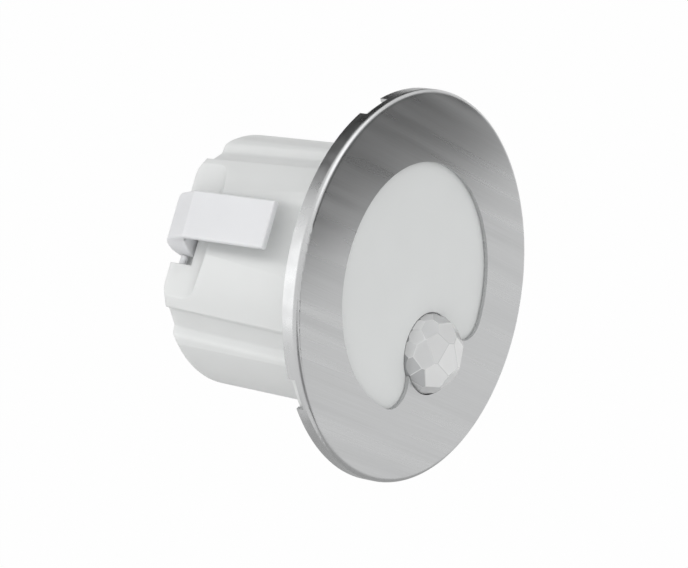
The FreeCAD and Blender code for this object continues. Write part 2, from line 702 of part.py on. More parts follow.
def spring_clip(label, turn):
    """A moulded strap that bends over the housing's rear edge and turns on two trunnions."""
    body = new_body(label)
    body.Placement = FreeCAD.Placement(FreeCAD.Vector(), FreeCAD.Rotation(FreeCAD.Vector(0, 1, 0), 0))
    bind(body, "Placement.Rotation.Angle", f"({turn}) * 1 deg")
    strap = new_sketch(body, "YZ_Plane", "strap")
    leg_front = f"({CLIP_HEEL} - clip_thickness)"
    heel_inside = f"(clip_heel_radius + {CLIP_SLOPE} * clip_thickness - clip_thickness)"
    polygon(strap, [(CLIP_TIP, "clip_tip_radius", "clip_tip_round"),
                    (CLIP_HEEL, "clip_heel_radius", "clip_bend"),
                    (CLIP_HEEL, "trunnion_place"), (leg_front, "trunnion_place"),
                    (leg_front, heel_inside, "clip_bend - clip_thickness"),
                    (CLIP_TIP, "clip_tip_radius - clip_thickness")])
    extrude(body, "Pad", strap, "2 * clip_width", both=True)
    plan = new_sketch(body, "XY_Plane", "plan")
    front, outside = f"({CLIP_TIP} - clip_thickness)", "(2 * clip_width)"
    left, right = "clip_offset - clip_width / 2", "clip_offset + clip_width / 2"
    rectangle(plan, f"-{outside}", outside, f"{front} - clip_thickness", "housing_depth + clip_thickness")
    polygon(plan, [(left, front), (right, front), (right, CLIP_HEEL, "clip_corner"),
                   (left, CLIP_HEEL, "clip_corner")])
    extrude(body, "Pocket", plan, both=True)
    trunnion = new_sketch(body, "YZ_Plane", "trunnion")
    circle(trunnion, TRUNNION_DEPTH, "trunnion_place", "trunnion_radius")
    trunnion_span = f"2 * ({POCKET_HALF_WIDTH} + trunnion_length - heel_pocket_gap)"
    extrude(body, "Pad", trunnion, trunnion_span, both=True)


def led_board():
    body = new_body("led_board")
    plate = cross_sketch(body, "plate", "led_seat", turn="clip_turn")
    flat_sided(plate, LED_BOARD_RADIUS, f"({LED_ROOM_FLAT} - board_gap)")
    extrude(body, "Pad", plate, "board_thickness")
    holes = cross_sketch(body, "screw_holes", LED_BOARD_FRONT, turn="clip_turn")
    for x, z in led_screw_places():
        circle(holes, x, z, "screw_radius + screw_gap")
    extrude(body, "Pocket", holes)
    lead_holes = cross_sketch(body, "lead_holes", LED_BOARD_FRONT)
    for x, z in sensor_leads():
        circle(lead_holes, x, f"{z} - lens_offset", "can_lead_radius + can_lead_gap")
    extrude(body, "Pocket", lead_holes)


def driver_board():
    body = new_body("driver_board")
    plate = cross_sketch(body, "plate", DRIVER_SEAT)
    circle(plate, "0", "0", DRIVER_BOARD_RADIUS)
    for x, z in driver_posts()[:2]:
        circle(plate, x, z, "screw_radius + screw_gap")
    extrude(body, "Pad", plate, "board_thickness")


def screws(label, places, seat, turn):
    """Pan head screws through a board, heads on its front."""
    body = new_body(label)
    heads = cross_sketch(body, "heads", f"{seat} - board_thickness", turn)
    shanks = cross_sketch(body, "shanks", f"{seat} - board_thickness", turn)
    for x, z in places:
        circle(heads, x, z, "screw_head_radius")
        circle(shanks, x, z, "screw_radius")
    body.AllowCompound = True
    extrude(body, "Pad", heads, "screw_head_height")
    extrude(body, "Pad", shanks, "board_thickness + screw_length - screw_gap", reverse=True)


def leds():
    members = []
    for index in range(int(value("leds"))):
        angle = f"((led_first_angle + {index} * led_step_angle) * 1 deg)"
        members.append(block(f"led_{index}", f"led_ring * cos{angle}", f"led_ring * sin{angle}",
                             f"{LED_BOARD_FRONT} - led_height", "led_width", "led_width", "led_height"))
    group("leds", members)


def dusk_sensor():
    body = new_body("dusk_sensor")
    bind(body, "Placement.Base.z", "dusk_z")
    foot = cross_sketch(body, "foot", LED_BOARD_FRONT)
    circle(foot, "0", "0", "dusk_radius")
    extrude(body, "Pad", foot, "dusk_height")
    round_edges(body, "dusk_radius * 0.8", is_ring("dusk_radius", f"{LED_BOARD_FRONT} - dusk_height"))


def pir_shroud():
    body = new_body("pir_shroud")
    tube = cross_sketch(body, "tube", LED_BOARD_FRONT)
    circle(tube, "0", "-lens_offset", "shroud_radius")
    circle(tube, "0", "-lens_offset", "shroud_radius - shroud_wall")
    extrude(body, "Pad", tube, f"{LED_BOARD_FRONT} - {LENS_BACK}")


def sensor_leads():
    """Places of the sensor's three leads about its own centre."""
    return [("-can_lead_ring", "0"), ("can_lead_ring", "0"), ("0", "-can_lead_ring")]


def pir_sensor():
    body = new_body("pir_sensor")
    bind(body, "Placement.Base.z", "-lens_offset")
    section = new_sketch(body, "XY_Plane", "section")
    rim_front = f"({LED_BOARD_FRONT} - can_flange_thickness)"
    top = f"({LED_BOARD_FRONT} - can_height)"
    polygon(section, [("0", top), ("can_radius", top), ("can_radius", rim_front),
                      ("can_flange_radius", rim_front), ("can_flange_radius", LED_BOARD_FRONT),
                      ("0", LED_BOARD_FRONT)])
    turned(body, "Revolution", section)
    round_edges(body, "can_flange_thickness", is_ring("can_radius", top))
    pane = cross_sketch(body, "pane_seat", top)
    half_width, half_height = "(window_width / 2 + window_gap)", "(window_height / 2 + window_gap)"
    rectangle(pane, f"-{half_width}", half_width, f"-{half_height}", half_height)
    extrude(body, "Pocket", pane, "window_thickness")
    leads = cross_sketch(body, "leads", LED_BOARD_FRONT)
    for x, z in sensor_leads():
        circle(leads, x, z, "can_lead_radius")
    extrude(body, "Pad", leads, "can_lead_length", reverse=True)
    pane_solid = block("sensor_window", "0", "-lens_offset", top, "window_width", "window_height",
                       "window_thickness")
    node(pane_solid, "sensor_window")


def pin_places():
    return [f"strip_x + ({index} - (pins - 1) / 2) * pin_pitch" for index in range(int(value("pins")))]


def board_link():
    body = new_body("header_strip")
    strip = cross_sketch(body, "strip", DRIVER_BOARD_FRONT)
    half_length, half_width = "(pins * pin_pitch / 2)", "(strip_width / 2)"
    rectangle(strip, f"strip_x - {half_length}", f"strip_x + {half_length}",
              f"strip_z - {half_width}", f"strip_z + {half_width}")
    for x in pin_places():
        circle(strip, x, "strip_z", "pin_radius + pin_gap")
    extrude(body, "Pad", strip, "strip_height")
    group("header_pins", [rod(f"pin_{index}", x, "strip_z", "led_seat", "pin_radius",
                              f"{DRIVER_BOARD_FRONT} - led_seat")
                          for index, x in enumerate(pin_places())])


def terminal():
    """A push-in terminal: per way a wire entry, a release button above it and a contact below."""
    body = new_body("terminal_block")
    case = cross_sketch(body, "case", DRIVER_SEAT)
    half_width, half_height = "(terminal_width / 2)", "(terminal_height / 2)"
    rectangle(case, f"-{half_width}", half_width,
              f"terminal_z - {half_height}", f"terminal_z + {half_height}")
    extrude(body, "Pad", case, f"{TERMINAL_REAR} - {DRIVER_SEAT}", reverse=True)
    entries = cross_sketch(body, "wire_entries", TERMINAL_REAR)
    wells = cross_sketch(body, "button_wells", TERMINAL_REAR)
    slots = cross_sketch(body, "contact_slots", DRIVER_SEAT)
    wire_z, button_z = "(terminal_z - wire_drop)", "(terminal_z + button_rise)"
    contacts = []
    for name, side in (("live", "-1"), ("neutral", "1")):
        x = f"({side} * way_pitch / 2)"
        circle(entries, x, wire_z, "wire_radius")
        well_width, well_height = "(button_width / 2 + button_gap)", "(button_height / 2 + button_gap)"
        rectangle(wells, f"{x} - {well_width}", f"{x} + {well_width}",
                  f"{button_z} - {well_height}", f"{button_z} + {well_height}")
        slot_width, slot_height = "(contact_width / 2 + button_gap)", "(contact_thickness / 2 + button_gap)"
        rectangle(slots, f"{x} - {slot_width}", f"{x} + {slot_width}",
                  f"{wire_z} - {slot_height}", f"{wire_z} + {slot_height}")
        button = block(f"{name}_button", x, button_z, f"{TERMINAL_REAR} + button_proud - button_length",
                       "button_width", "button_height", "button_length")
        node(button, f"{name}_button")
        contacts.append(block(f"{name}_contact", x, wire_z, DRIVER_SEAT, "contact_width",
                              "contact_thickness", "contact_length"))
    extrude(body, "Pocket", entries, "wire_depth", reverse=True)
    extrude(body, "Pocket", wells, "button_well", reverse=True)
    extrude(body, "Pocket", slots, "contact_length")
    group("terminal_contacts", contacts)


def choke():
    """A drum core: two lips with a winding between them."""
    body = new_body("choke")
    bind(body, "Placement.Base.x", "wound_x")
    bind(body, "Placement.Base.z", "wound_z")
    section = new_sketch(body, "XY_Plane", "section")
    top = f"({DRIVER_SEAT} + choke_height)"
    low, high = f"({DRIVER_SEAT} + choke_lip)", f"({top} - choke_lip)"
    polygon(section, [("0", DRIVER_SEAT), ("choke_radius", DRIVER_SEAT), ("choke_radius", low),
                      ("choke_waist", low), ("choke_waist", high), ("choke_radius", high),
                      ("choke_radius", top), ("0", top)])
    turned(body, "Revolution", section)


def driver_parts():
    choke()
    node(rod("electrolytic_capacitor", "-wound_x", "wound_z", DRIVER_SEAT, "capacitor_radius",
             "capacitor_height"), "electrolytic_capacitor")
    node(block("film_capacitor", "0", "film_z", f"{DRIVER_BOARD_FRONT} - film_height", "film_width",
               "film_thickness", "film_height"), "film_capacitor")
    node(rod("varistor", "0", "varistor_z", DRIVER_SEAT, "varistor_radius", "varistor_thickness"), "varistor")
    node(block("bridge_rectifier", "-chip_x", "chip_z", DRIVER_SEAT, "rectifier_width", "rectifier_height",
               "rectifier_thickness"), "bridge_rectifier")
    node(block("driver_chip", "chip_x", "chip_z", DRIVER_SEAT, "chip_width", "chip_height",
               "chip_thickness"), "driver_chip")
    node(rod("fuse_resistor", "-resistor_length / 2", "resistor_z", f"{DRIVER_SEAT} + resistor_radius",
             "resistor_radius", "resistor_length", axis=(0, 1, 0), turn=90), "fuse_resistor")


def check_model():
    """Stops if anything failed to build, or if a cut took nothing away. A trim may find nothing to take."""
    for thing in document.Objects:
        if {"Invalid", "Error"} & set(thing.State):
            raise RuntimeError(f"{thing.Name} did not build: {thing.State}")
        if thing.TypeId in ("PartDesign::Pocket", "PartDesign::Groove") and "_trim_" not in thing.Name:
            if thing.Shape.Volume > thing.BaseFeature.Shape.Volume - 1e-6:
                raise RuntimeError(f"{thing.Name} cuts nothing")
    for thing in nodes:
        if thing.Shape.isNull() or not thing.Shape.isValid():
            raise RuntimeError(f"{thing.Label} has no valid shape")


def write_parts():
    os.makedirs("parts", exist_ok=True)
    for thing in nodes:
        thing.Shape.exportStep(f"parts/{thing.Label}.step")
        print(f"{thing.Label}: {len(thing.Shape.Solids)} solid(s), {thing.Shape.Volume:.1f} mm3")


trim_bezel()
diffuser()
pir_lens()
housing()
spring_clip("upper_clip", "-clip_turn")
spring_clip("lower_clip", "180 - clip_turn")
led_board()
screws("led_board_screws", led_screw_places(), "led_seat", "clip_turn")
leds()
dusk_sensor()
pir_shroud()
pir_sensor()
driver_board()
screws("driver_board_screws", driver_posts()[:2], DRIVER_SEAT, "0")
board_link()
terminal()
driver_parts()
document.recompute()
check_model()
write_parts()
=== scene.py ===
import json
import math

import bmesh
import bpy
from mathutils import Matrix, Vector


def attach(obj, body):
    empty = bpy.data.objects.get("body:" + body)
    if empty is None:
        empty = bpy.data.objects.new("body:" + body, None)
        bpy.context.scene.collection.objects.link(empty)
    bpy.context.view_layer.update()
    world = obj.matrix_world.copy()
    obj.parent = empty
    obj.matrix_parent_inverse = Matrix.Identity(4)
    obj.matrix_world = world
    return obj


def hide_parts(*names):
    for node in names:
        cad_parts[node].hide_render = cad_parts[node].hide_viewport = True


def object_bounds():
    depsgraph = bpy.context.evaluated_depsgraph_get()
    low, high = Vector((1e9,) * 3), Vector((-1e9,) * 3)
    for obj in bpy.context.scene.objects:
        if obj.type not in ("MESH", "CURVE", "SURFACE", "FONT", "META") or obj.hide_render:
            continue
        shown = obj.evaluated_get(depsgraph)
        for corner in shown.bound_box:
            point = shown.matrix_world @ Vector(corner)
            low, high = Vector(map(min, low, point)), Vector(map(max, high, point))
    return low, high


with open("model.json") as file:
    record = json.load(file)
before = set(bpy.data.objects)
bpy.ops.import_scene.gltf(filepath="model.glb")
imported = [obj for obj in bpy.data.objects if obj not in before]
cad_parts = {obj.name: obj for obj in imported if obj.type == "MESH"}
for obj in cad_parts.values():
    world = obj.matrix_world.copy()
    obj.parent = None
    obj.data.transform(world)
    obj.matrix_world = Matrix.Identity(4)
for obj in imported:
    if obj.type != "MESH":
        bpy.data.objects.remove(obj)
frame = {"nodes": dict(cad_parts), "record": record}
cad_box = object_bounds()
nodes = frame["nodes"]
scene = bpy.context.scene

MM = 0.001
EDGE_SAMPLES = 6


# Shader helpers

def new_material(name):
    """A material with a Principled shader: returns it, its tree and the shader."""
    material = bpy.data.materials.new(name)
    material.use_nodes = True
    tree = material.node_tree
    return material, tree, tree.nodes["Principled BSDF"]


def add(tree, kind, **inputs):
    """A node of that kind with some of its inputs set; an input is named with _ for each space."""
    made = tree.nodes.new(f"ShaderNode{kind}")
    for key, number in inputs.items():
        made.inputs[key.replace("_", " ")].default_value = number
    return made


def finish(shader, **inputs):
    """Sets the shader's inputs that are the same all over the surface."""
    for key, number in inputs.items():
        shader.inputs[key.replace("_", " ")].default_value = number


def texture_place(tree, grain, turn=(0.0, 0.0, 0.0)):
    """The point on the object along turned axes, in steps of the grain's length, width and depth."""
    place = add(tree, "TexCoord")
    mapping = add(tree, "Mapping", Rotation=turn, Scale=grain)
    mapping.vector_type = "TEXTURE"
    tree.links.new(place.outputs["Object"], mapping.inputs["Vector"])
    return mapping.outputs["Vector"]


def noise(tree, place, detail=3.0, roughness=0.5):
    made = add(tree, "TexNoise", Scale=1.0, Detail=detail, Roughness=roughness)
    tree.links.new(place, made.inputs["Vector"])
    return made.outputs["Fac"]


def ramp(tree, factor, *stops):
    """A colour ramp with (position, colour) stops."""
    made = add(tree, "ValToRGB")
    elements = made.color_ramp.elements
    while len(elements) < len(stops):
        elements.new(0.5)
    for element, (position, colour) in zip(elements, stops):
        element.position = position
        element.color = (*colour, 1.0)
    tree.links.new(factor, made.inputs["Fac"])
    return made.outputs["Color"]


def spread(tree, factor, low, high):
    """The factor from 0 to 1 as a number from low to high."""
    made = add(tree, "MapRange", To_Min=low, To_Max=high)
    tree.links.new(factor, made.inputs["Value"])
    return made.outputs["Result"]


def bump(tree, shader, height, distance, strength, edge=0.0):
    """Fine relief on the surface, and sharp edges that shade as if rounded to the edge's radius."""
    made = add(tree, "Bump", Strength=strength, Distance=distance)
    tree.links.new(height, made.inputs["Height"])
    if edge:
        rounded = add(tree, "Bevel", Radius=edge)
        rounded.samples = EDGE_SAMPLES
        tree.links.new(rounded.outputs["Normal"], made.inputs["Normal"])
    tree.links.new(made.outputs["Normal"], shader.inputs["Normal"])


def shade(colour, factor):
    return tuple(channel * factor for channel in colour)


# Materials: patterns are in metres, a tint is a share of the colour and a sheen a step of roughness

CLOUD_SIZE, SHEEN_SIZE = 0.016, 0.005
MOULD_GRAIN, MOULD_RELIEF = 0.0002, 0.00001
PLASTIC_TINT, PLASTIC_SHEEN = 0.03, 0.05
METAL_GRAIN, METAL_RELIEF = 0.0006, 0.000008
METAL_TINT, METAL_SHEEN = 0.08, 0.06


def tinted(tree, factor, colour, tint):
    """The colour, darker by up to that share where the factor is low."""
    return ramp(tree, factor, (0.3, shade(colour, 1 - tint)), (0.7, colour))


def plastic(name, colour, roughness, edge=0.0, **inputs):
    """Moulded plastic: slight cloudiness of colour and gloss, and a fine moulded grain."""
    material, tree, shader = new_material(name)
    cloud = noise(tree, texture_place(tree, (CLOUD_SIZE,) * 3), detail=2.0)
    tree.links.new(tinted(tree, cloud, colour, PLASTIC_TINT), shader.inputs["Base Color"])
    sheen = noise(tree, texture_place(tree, (SHEEN_SIZE,) * 3))
    tree.links.new(spread(tree, sheen, roughness - PLASTIC_SHEEN, roughness + PLASTIC_SHEEN),
                   shader.inputs["Roughness"])
    finish(shader, **inputs)
    grain = noise(tree, texture_place(tree, (MOULD_GRAIN,) * 3), detail=2.0)
    bump(tree, shader, grain, MOULD_RELIEF, 0.5, edge)
    return material


def metal(name, colour, roughness):
    """Plated or drawn metal with a faintly uneven gloss."""
    material, tree, shader = new_material(name)
    mottle = noise(tree, texture_place(tree, (METAL_GRAIN,) * 3))
    tree.links.new(tinted(tree, mottle, colour, METAL_TINT), shader.inputs["Base Color"])
    tree.links.new(spread(tree, mottle, roughness - METAL_SHEEN, roughness + METAL_SHEEN),
                   shader.inputs["Roughness"])
    finish(shader, Metallic=1.0)
    bump(tree, shader, mottle, METAL_RELIEF, 0.3)
    return material


BRUSH_TURN = math.radians(44)
BRUSH_LINES, BRUSH_BANDS = (0.03, 0.00022, 0.00022), (0.12, 0.0035, 0.0035)
BRUSH_RELIEF = 0.000003
STEEL_DARK, STEEL_LIGHT = (0.53, 0.535, 0.535), (0.57, 0.575, 0.58)
STEEL_SMOOTH, STEEL_ROUGH = 0.12, 0.48


def brushed_steel(name):
    """Stainless steel with a straight brushed grain, which smears reflections across its lines."""
    material, tree, shader = new_material(name)
    turn = (0.0, BRUSH_TURN, 0.0)
    fine = noise(tree, texture_place(tree, BRUSH_LINES, turn), detail=4.0, roughness=0.6)
    broad = noise(tree, texture_place(tree, BRUSH_BANDS, turn), detail=1.0)
    tree.links.new(ramp(tree, fine, (0.32, STEEL_DARK), (0.68, STEEL_LIGHT)), shader.inputs["Base Color"])
    tree.links.new(spread(tree, broad, STEEL_SMOOTH, STEEL_ROUGH), shader.inputs["Roughness"])
    finish(shader, Metallic=1.0, Anisotropic=0.5)
    across = add(tree, "CombineXYZ", X=math.sin(BRUSH_TURN), Z=math.cos(BRUSH_TURN))
    world_way = add(tree, "VectorTransform")
    world_way.vector_type = "VECTOR"
    world_way.convert_from, world_way.convert_to = "OBJECT", "WORLD"
    tree.links.new(across.outputs["Vector"], world_way.inputs["Vector"])
    tree.links.new(world_way.outputs["Vector"], shader.inputs["Tangent"])
    bump(tree, shader, fine, BRUSH_RELIEF, 0.2)
    return material


# The lens' colours: the first is painted shade for the clearest flats, the second is the milky plastic
LENS_PAINTED_SHADE, LENS_MILKY = (0.6, 0.61, 0.62), (0.99, 0.995, 0.995)
LENS_CLOUD, LENS_WAVES, LENS_RELIEF, LENS_EDGE = 0.004, 0.0012, 0.00001, 0.00025
HAZE_AND_SHADE = "haze_and_shade"


def milky_lens(name):
    """Milky clear plastic: the less haze a flat has, the more light goes through it and the darker its
    colour, which is painted shade.
    """
    material, tree, shader = new_material(name)
    cloud = noise(tree, texture_place(tree, (LENS_CLOUD,) * 3), detail=2.0)
    haze_and_shade = add(tree, "Attribute")
    haze_and_shade.attribute_name = HAZE_AND_SHADE
    # Painted shade: the clearer a flat, the darker its colour
    tree.links.new(ramp(tree, haze_and_shade.outputs["Fac"], (0.0, LENS_PAINTED_SHADE), (0.8, LENS_MILKY)),
                   shader.inputs["Base Color"])
    tree.links.new(spread(tree, cloud, 0.05, 0.1), shader.inputs["Roughness"])
    tree.links.new(spread(tree, haze_and_shade.outputs["Fac"], 0.6, 0.3), shader.inputs["Transmission Weight"])
    finish(shader, IOR=1.5, Coat_Weight=0.6, Coat_Roughness=0.04)
    waves = noise(tree, texture_place(tree, (LENS_WAVES,) * 3))
    bump(tree, shader, waves, LENS_RELIEF, 0.2, LENS_EDGE)
    return material


WHITE = (0.73, 0.74, 0.735)
CLIP_WHITE = (0.735, 0.74, 0.755)
SHROUD_WHITE = (0.82, 0.83, 0.83)
THIN_WALL = {"Subsurface_Weight": 0.5, "Subsurface_Radius": (1.0, 1.0, 1.0), "Subsurface_Scale": 0.003}
MOULD_EDGE, SMALL_EDGE = 0.0003, 0.0002
MATERIALS = {
    "brushed_steel": brushed_steel("brushed_steel"),
    "opal_plastic": plastic("opal_plastic", (0.80, 0.815, 0.81), 0.5),
    "lens_plastic": milky_lens("lens_plastic"),
    "housing_plastic": plastic("housing_plastic", WHITE, 0.42, MOULD_EDGE, **THIN_WALL),
    "clip_plastic": plastic("clip_plastic", CLIP_WHITE, 0.38, MOULD_EDGE, **THIN_WALL),
    "white_board": plastic("white_board", (0.8, 0.8, 0.76), 0.4),
    "green_board": plastic("green_board", (0.01, 0.055, 0.018), 0.35),
    "led_package": plastic("led_package", (0.8, 0.6, 0.09), 0.35),
    "zinc_steel": metal("zinc_steel", (0.45, 0.45, 0.43), 0.3),
    "sensor_can": metal("sensor_can", (0.48, 0.48, 0.46), 0.35),
    "filter_glass": plastic("filter_glass", (0.012, 0.01, 0.01), 0.1),
    "black_plastic": plastic("black_plastic", (0.012, 0.012, 0.013), 0.45),
    "clear_resin": plastic("clear_resin", (0.5, 0.55, 0.58), 0.15),
    "pin_brass": metal("pin_brass", (0.57, 0.38, 0.085), 0.3),
    "terminal_plastic": plastic("terminal_plastic", (0.025, 0.027, 0.03), 0.45, SMALL_EDGE),
    "button_plastic": plastic("button_plastic", (0.7, 0.11, 0.008), 0.35, SMALL_EDGE),
    "ferrite": plastic("ferrite", (0.012, 0.012, 0.014), 0.5),
    "capacitor_sleeve": plastic("capacitor_sleeve", (0.006, 0.008, 0.013), 0.3),
    "film_case": plastic("film_case", (0.7, 0.38, 0.01), 0.35),
    "varistor_coat": plastic("varistor_coat", (0.006, 0.035, 0.2), 0.3),
    "resistor_coat": plastic("resistor_coat", (0.1, 0.14, 0.11), 0.6),
}
for part in frame["record"]["subparts"]:
    piece = nodes[part["node"]]
    piece.data.materials.clear()
    piece.data.materials.append(MATERIALS[part["material_slot"]])
nodes["pir_shroud"].data.materials[0] = plastic("shroud_plastic", SHROUD_WHITE, 0.5)


# Shapes

def join_rings(shape, first, second):
    """The faces between two rows of as many points."""
    for step, start in enumerate(first):
        after = (step + 1) % len(first)
        shape.faces.new((start, first[after], second[after], second[step]))


def dressed(name, shape, slot):
    """An object of that shape in the material of that slot; it uses the shape up."""
    mesh = bpy.data.meshes.new(name)
    shape.to_mesh(mesh)
    shape.free()
    mesh.materials.append(MATERIALS[slot])
    made = bpy.data.objects.new(name, mesh)
    scene.collection.objects.link(made)
    return made


# Lens of the motion sensor: flats of several sizes round the dome, and a collar up to the diffuser's hole

LENS_CENTRE = Vector((0.0, -0.00245, -0.0158))
LENS_REACH, LENS_RISE = 0.0083, 0.0063
LENS_SCALE, HOLLOW_SCALE = 0.985, 0.86
RING_POINTS = 96
COLLAR_RADIUS, COLLAR_FRONT = 0.00845, 0.0001
FLANGE_RADIUS, FLANGE_FRONT, FLANGE_BACK = 0.0094, 0.00155, 0.00255
LENS_BORE, HOUSING_BORE = 0.0071, 0.0240
RIDGE_ANGLE, RIDGE_ROUND, RIDGE_STEPS, RIDGE_HIGHLIGHT_HAZE = 0.08, 0.00022, 3, 0.62
CORNER_MERGE = 0.0002
SAME_PLACE, CUT_SLACK = 1e-6, 1e-7
FACES_FRONT = 0.99

# Each flat's tilt from the lens' axis and turn about it, in degrees, and its haze, which also sets its
# colour: a clearer flat is painted darker, as shade
LENS_FLATS = [
    (7, 150, 1.0), (17, 0, 0.95), (27, 124, 0.75), (32, 71, 0.95), (36, 198, 0.8), (35, 265, 0.95),
    (38, 320, 0.9), (38, 20, 0.9), (49, 148, 0.5), (59, 100, 0.35), (62, 66, 0.35), (61, 188, 0.16),
    (64, 226, 0.75), (58, 262, 0.9), (64, 296, 0.8), (67, 340, 0.6), (61, 32, 0.85), (67, 2, 0.7),
    (76, 121, 0.6), (82, 142, 0.55), (71, 168, 0.25), (82, 205, 0.6), (83, 244, 0.5), (82, 280, 0.8),
    (83, 318, 0.7), (83, 352, 0.8), (82, 20, 0.7), (82, 50, 0.8), (82, 82, 0.6), (82, 104, 0.75),
]
HOLLOW_TILT, HOLLOW_TURN, HOLLOW_HAZE = 0.92, 12, 0.9
HOLLOW_FLATS = [(tilt * HOLLOW_TILT, turn + HOLLOW_TURN, HOLLOW_HAZE) for tilt, turn, haze_and_shade in LENS_FLATS]


def lens_ring(shape, radius, depth):
    """A round row of points about the lens' axis; the radius may change with the angle."""
    row = []
    for step in range(RING_POINTS):
        angle = math.tau * step / RING_POINTS
        reach = radius(angle) if callable(radius) else radius
        row.append(shape.verts.new(LENS_CENTRE + Vector((reach * math.cos(angle), depth,
                                                         reach * math.sin(angle)))))
    return row


def flange_reach(angle):
    """The flange's edge: round, and cut back where it meets the housing's bore."""
    drop = -LENS_CENTRE.z
    wall = drop * math.sin(angle) + math.sqrt(HOUSING_BORE ** 2 - (drop * math.cos(angle)) ** 2)
    return min(FLANGE_RADIUS, wall)


def faceted_dome(shape, foot, scale, flats):
    """An open dome of flats over a round foot; each touches a flattened ball of the lens' reach and rise."""
    haze_and_shade = shape.faces.layers.float.new(HAZE_AND_SHADE)
    tall = lens_ring(shape, LENS_REACH * scale, -2 * LENS_RISE)
    join_rings(shape, foot, tall)
    shape.faces.new(tall)
    shape.faces.new(foot)
    for tilt, turn, milk_and_shade in flats:
        tilt, turn = math.radians(tilt), math.radians(turn)
        way = Vector((math.sin(tilt) * math.cos(turn), -math.cos(tilt), math.sin(tilt) * math.sin(turn)))
        touch = scale * math.hypot(LENS_REACH * math.sin(tilt), LENS_RISE * math.cos(tilt))
        bmesh.ops.bisect_plane(shape, geom=shape.verts[:] + shape.edges[:] + shape.faces[:], dist=CUT_SLACK,
                               plane_co=LENS_CENTRE + way * touch, plane_no=way, clear_outer=True)
        cut = [edge for edge in shape.edges if edge.is_boundary
               and all(abs((corner.co - LENS_CENTRE).dot(way) - touch) < SAME_PLACE for corner in edge.verts)]
        if cut:
            # Each new flat takes its haze from the table, which also sets its painted shade
            for face in bmesh.ops.edgenet_fill(shape, edges=cut)["faces"]:
                face[haze_and_shade] = milk_and_shade
    base = [face for face in shape.faces if abs(face.normal.y) > FACES_FRONT
            and abs(face.calc_center_median().y - LENS_CENTRE.y) < SAME_PLACE]
    bmesh.ops.delete(shape, geom=base, context="FACES_ONLY")


def soften_ridges(shape):
    """Merges corners that lie close together, then rounds the ridges between the flats and gives them one
    haze, whose colour is a painted highlight along them.
    """
    haze_and_shade = shape.faces.layers.float[HAZE_AND_SHADE]
    bmesh.ops.remove_doubles(shape, verts=shape.verts, dist=CORNER_MERGE)
    ridges = [edge for edge in shape.edges
              if len(edge.link_faces) == 2 and edge.calc_face_angle() > RIDGE_ANGLE
              and all(face[haze_and_shade] > 0 for face in edge.link_faces)]
    softened = bmesh.ops.bevel(shape, geom=ridges, offset=RIDGE_ROUND, offset_type="OFFSET",
                               segments=RIDGE_STEPS, profile=0.5, affect="EDGES", clamp_overlap=True)
    # Painted highlight: the rounded ridges all take one haze and its colour
    for face in softened["faces"]:
        face[haze_and_shade] = RIDGE_HIGHLIGHT_HAZE
        face.smooth = True


def add_collar(shape):
    """Leads the dome's brim over the collar and round the flange to the bore behind."""
    brim = [edge for edge in shape.edges if edge.is_boundary]
    rows = [lens_ring(shape, COLLAR_RADIUS, COLLAR_FRONT), lens_ring(shape, COLLAR_RADIUS, FLANGE_FRONT),
            lens_ring(shape, flange_reach, FLANGE_FRONT), lens_ring(shape, flange_reach, FLANGE_BACK),
            lens_ring(shape, LENS_BORE, FLANGE_BACK), lens_ring(shape, LENS_BORE, 0.0)]
    for first, second in zip(rows, rows[1:]):
        join_rings(shape, first, second)
    collar = [edge for edge in shape.edges if edge.is_boundary and edge.verts[0] in rows[0]]
    bmesh.ops.bridge_loops(shape, edges=brim + collar)


def add_hollow(shape):
    """Closes the bore with a smaller dome, whose flats are turned against those in front."""
    hollow = bmesh.new()
    faceted_dome(hollow, lens_ring(hollow, LENS_BORE, 0.0), HOLLOW_SCALE, HOLLOW_FLATS)
    spare = bpy.data.meshes.new("lens_hollow")
    hollow.to_mesh(spare)
    hollow.free()
    shape.from_mesh(spare)
    bpy.data.meshes.remove(spare)
    bmesh.ops.remove_doubles(shape, verts=shape.verts, dist=SAME_PLACE)


def faceted_lens():
    shape = bmesh.new()
    faceted_dome(shape, lens_ring(shape, LENS_REACH, 0.0), LENS_SCALE, LENS_FLATS)
    soften_ridges(shape)
    add_collar(shape)
    add_hollow(shape)
    bmesh.ops.recalc_face_normals(shape, faces=shape.faces)
    dome = dressed("lens_dome", shape, "lens_plastic")
    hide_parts("pir_lens")
    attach(dome, "fixture")


faceted_lens()


# Clips: a flat spring strap that kinks down into a full heel, with the hinge pin through it

CLIP_TURN = math.radians(134.2)
CLIP_ROUND, CLIP_ROUND_STEPS = 0.5 * MM, 5
ROUNDED_FROM, SHARP_FROM = 0.6, math.radians(20)
PIN_RADIUS, PIN_LENGTH, PIN_SIDES = 0.8 * MM, 17.4 * MM, 32
PIN_PLACE = (40.0, 20.5)

# From the strap's tip to the heel's foot: depth and distance from the light's axis on the outer and on the
# inner face, and where the strap begins and ends across, all in mm
CLIP_STATIONS = [
    ((13.7, 30.7), (13.7, 29.0), -6.75, 3.15), ((34.9, 29.56), (35.1, 27.85), -6.75, 3.15),
    ((40.0, 27.2), (36.6, 26.6), -6.4, 3.35), ((40.65, 26.75), (36.65, 26.2), -6.0, 3.6),
    ((41.1, 26.25), (36.7, 25.7), -5.5, 3.9), ((41.4, 25.6), (36.75, 25.1), -5.0, 4.2),
    ((41.55, 24.8), (36.8, 24.4), -4.6, 4.5), ((41.6, 23.4), (37.0, 23.4), -4.3, 4.9),
    ((41.6, 20.2), (37.4, 20.2), -4.2, 5.3),
]


def clip_point(place, across):
    """The point of the upper clip at a depth and a distance from the axis, and across the strap (mm)."""
    depth, reach = place
    return MM * Vector((reach * math.cos(CLIP_TURN) - across * math.sin(CLIP_TURN), depth,
                        reach * math.sin(CLIP_TURN) + across * math.cos(CLIP_TURN)))


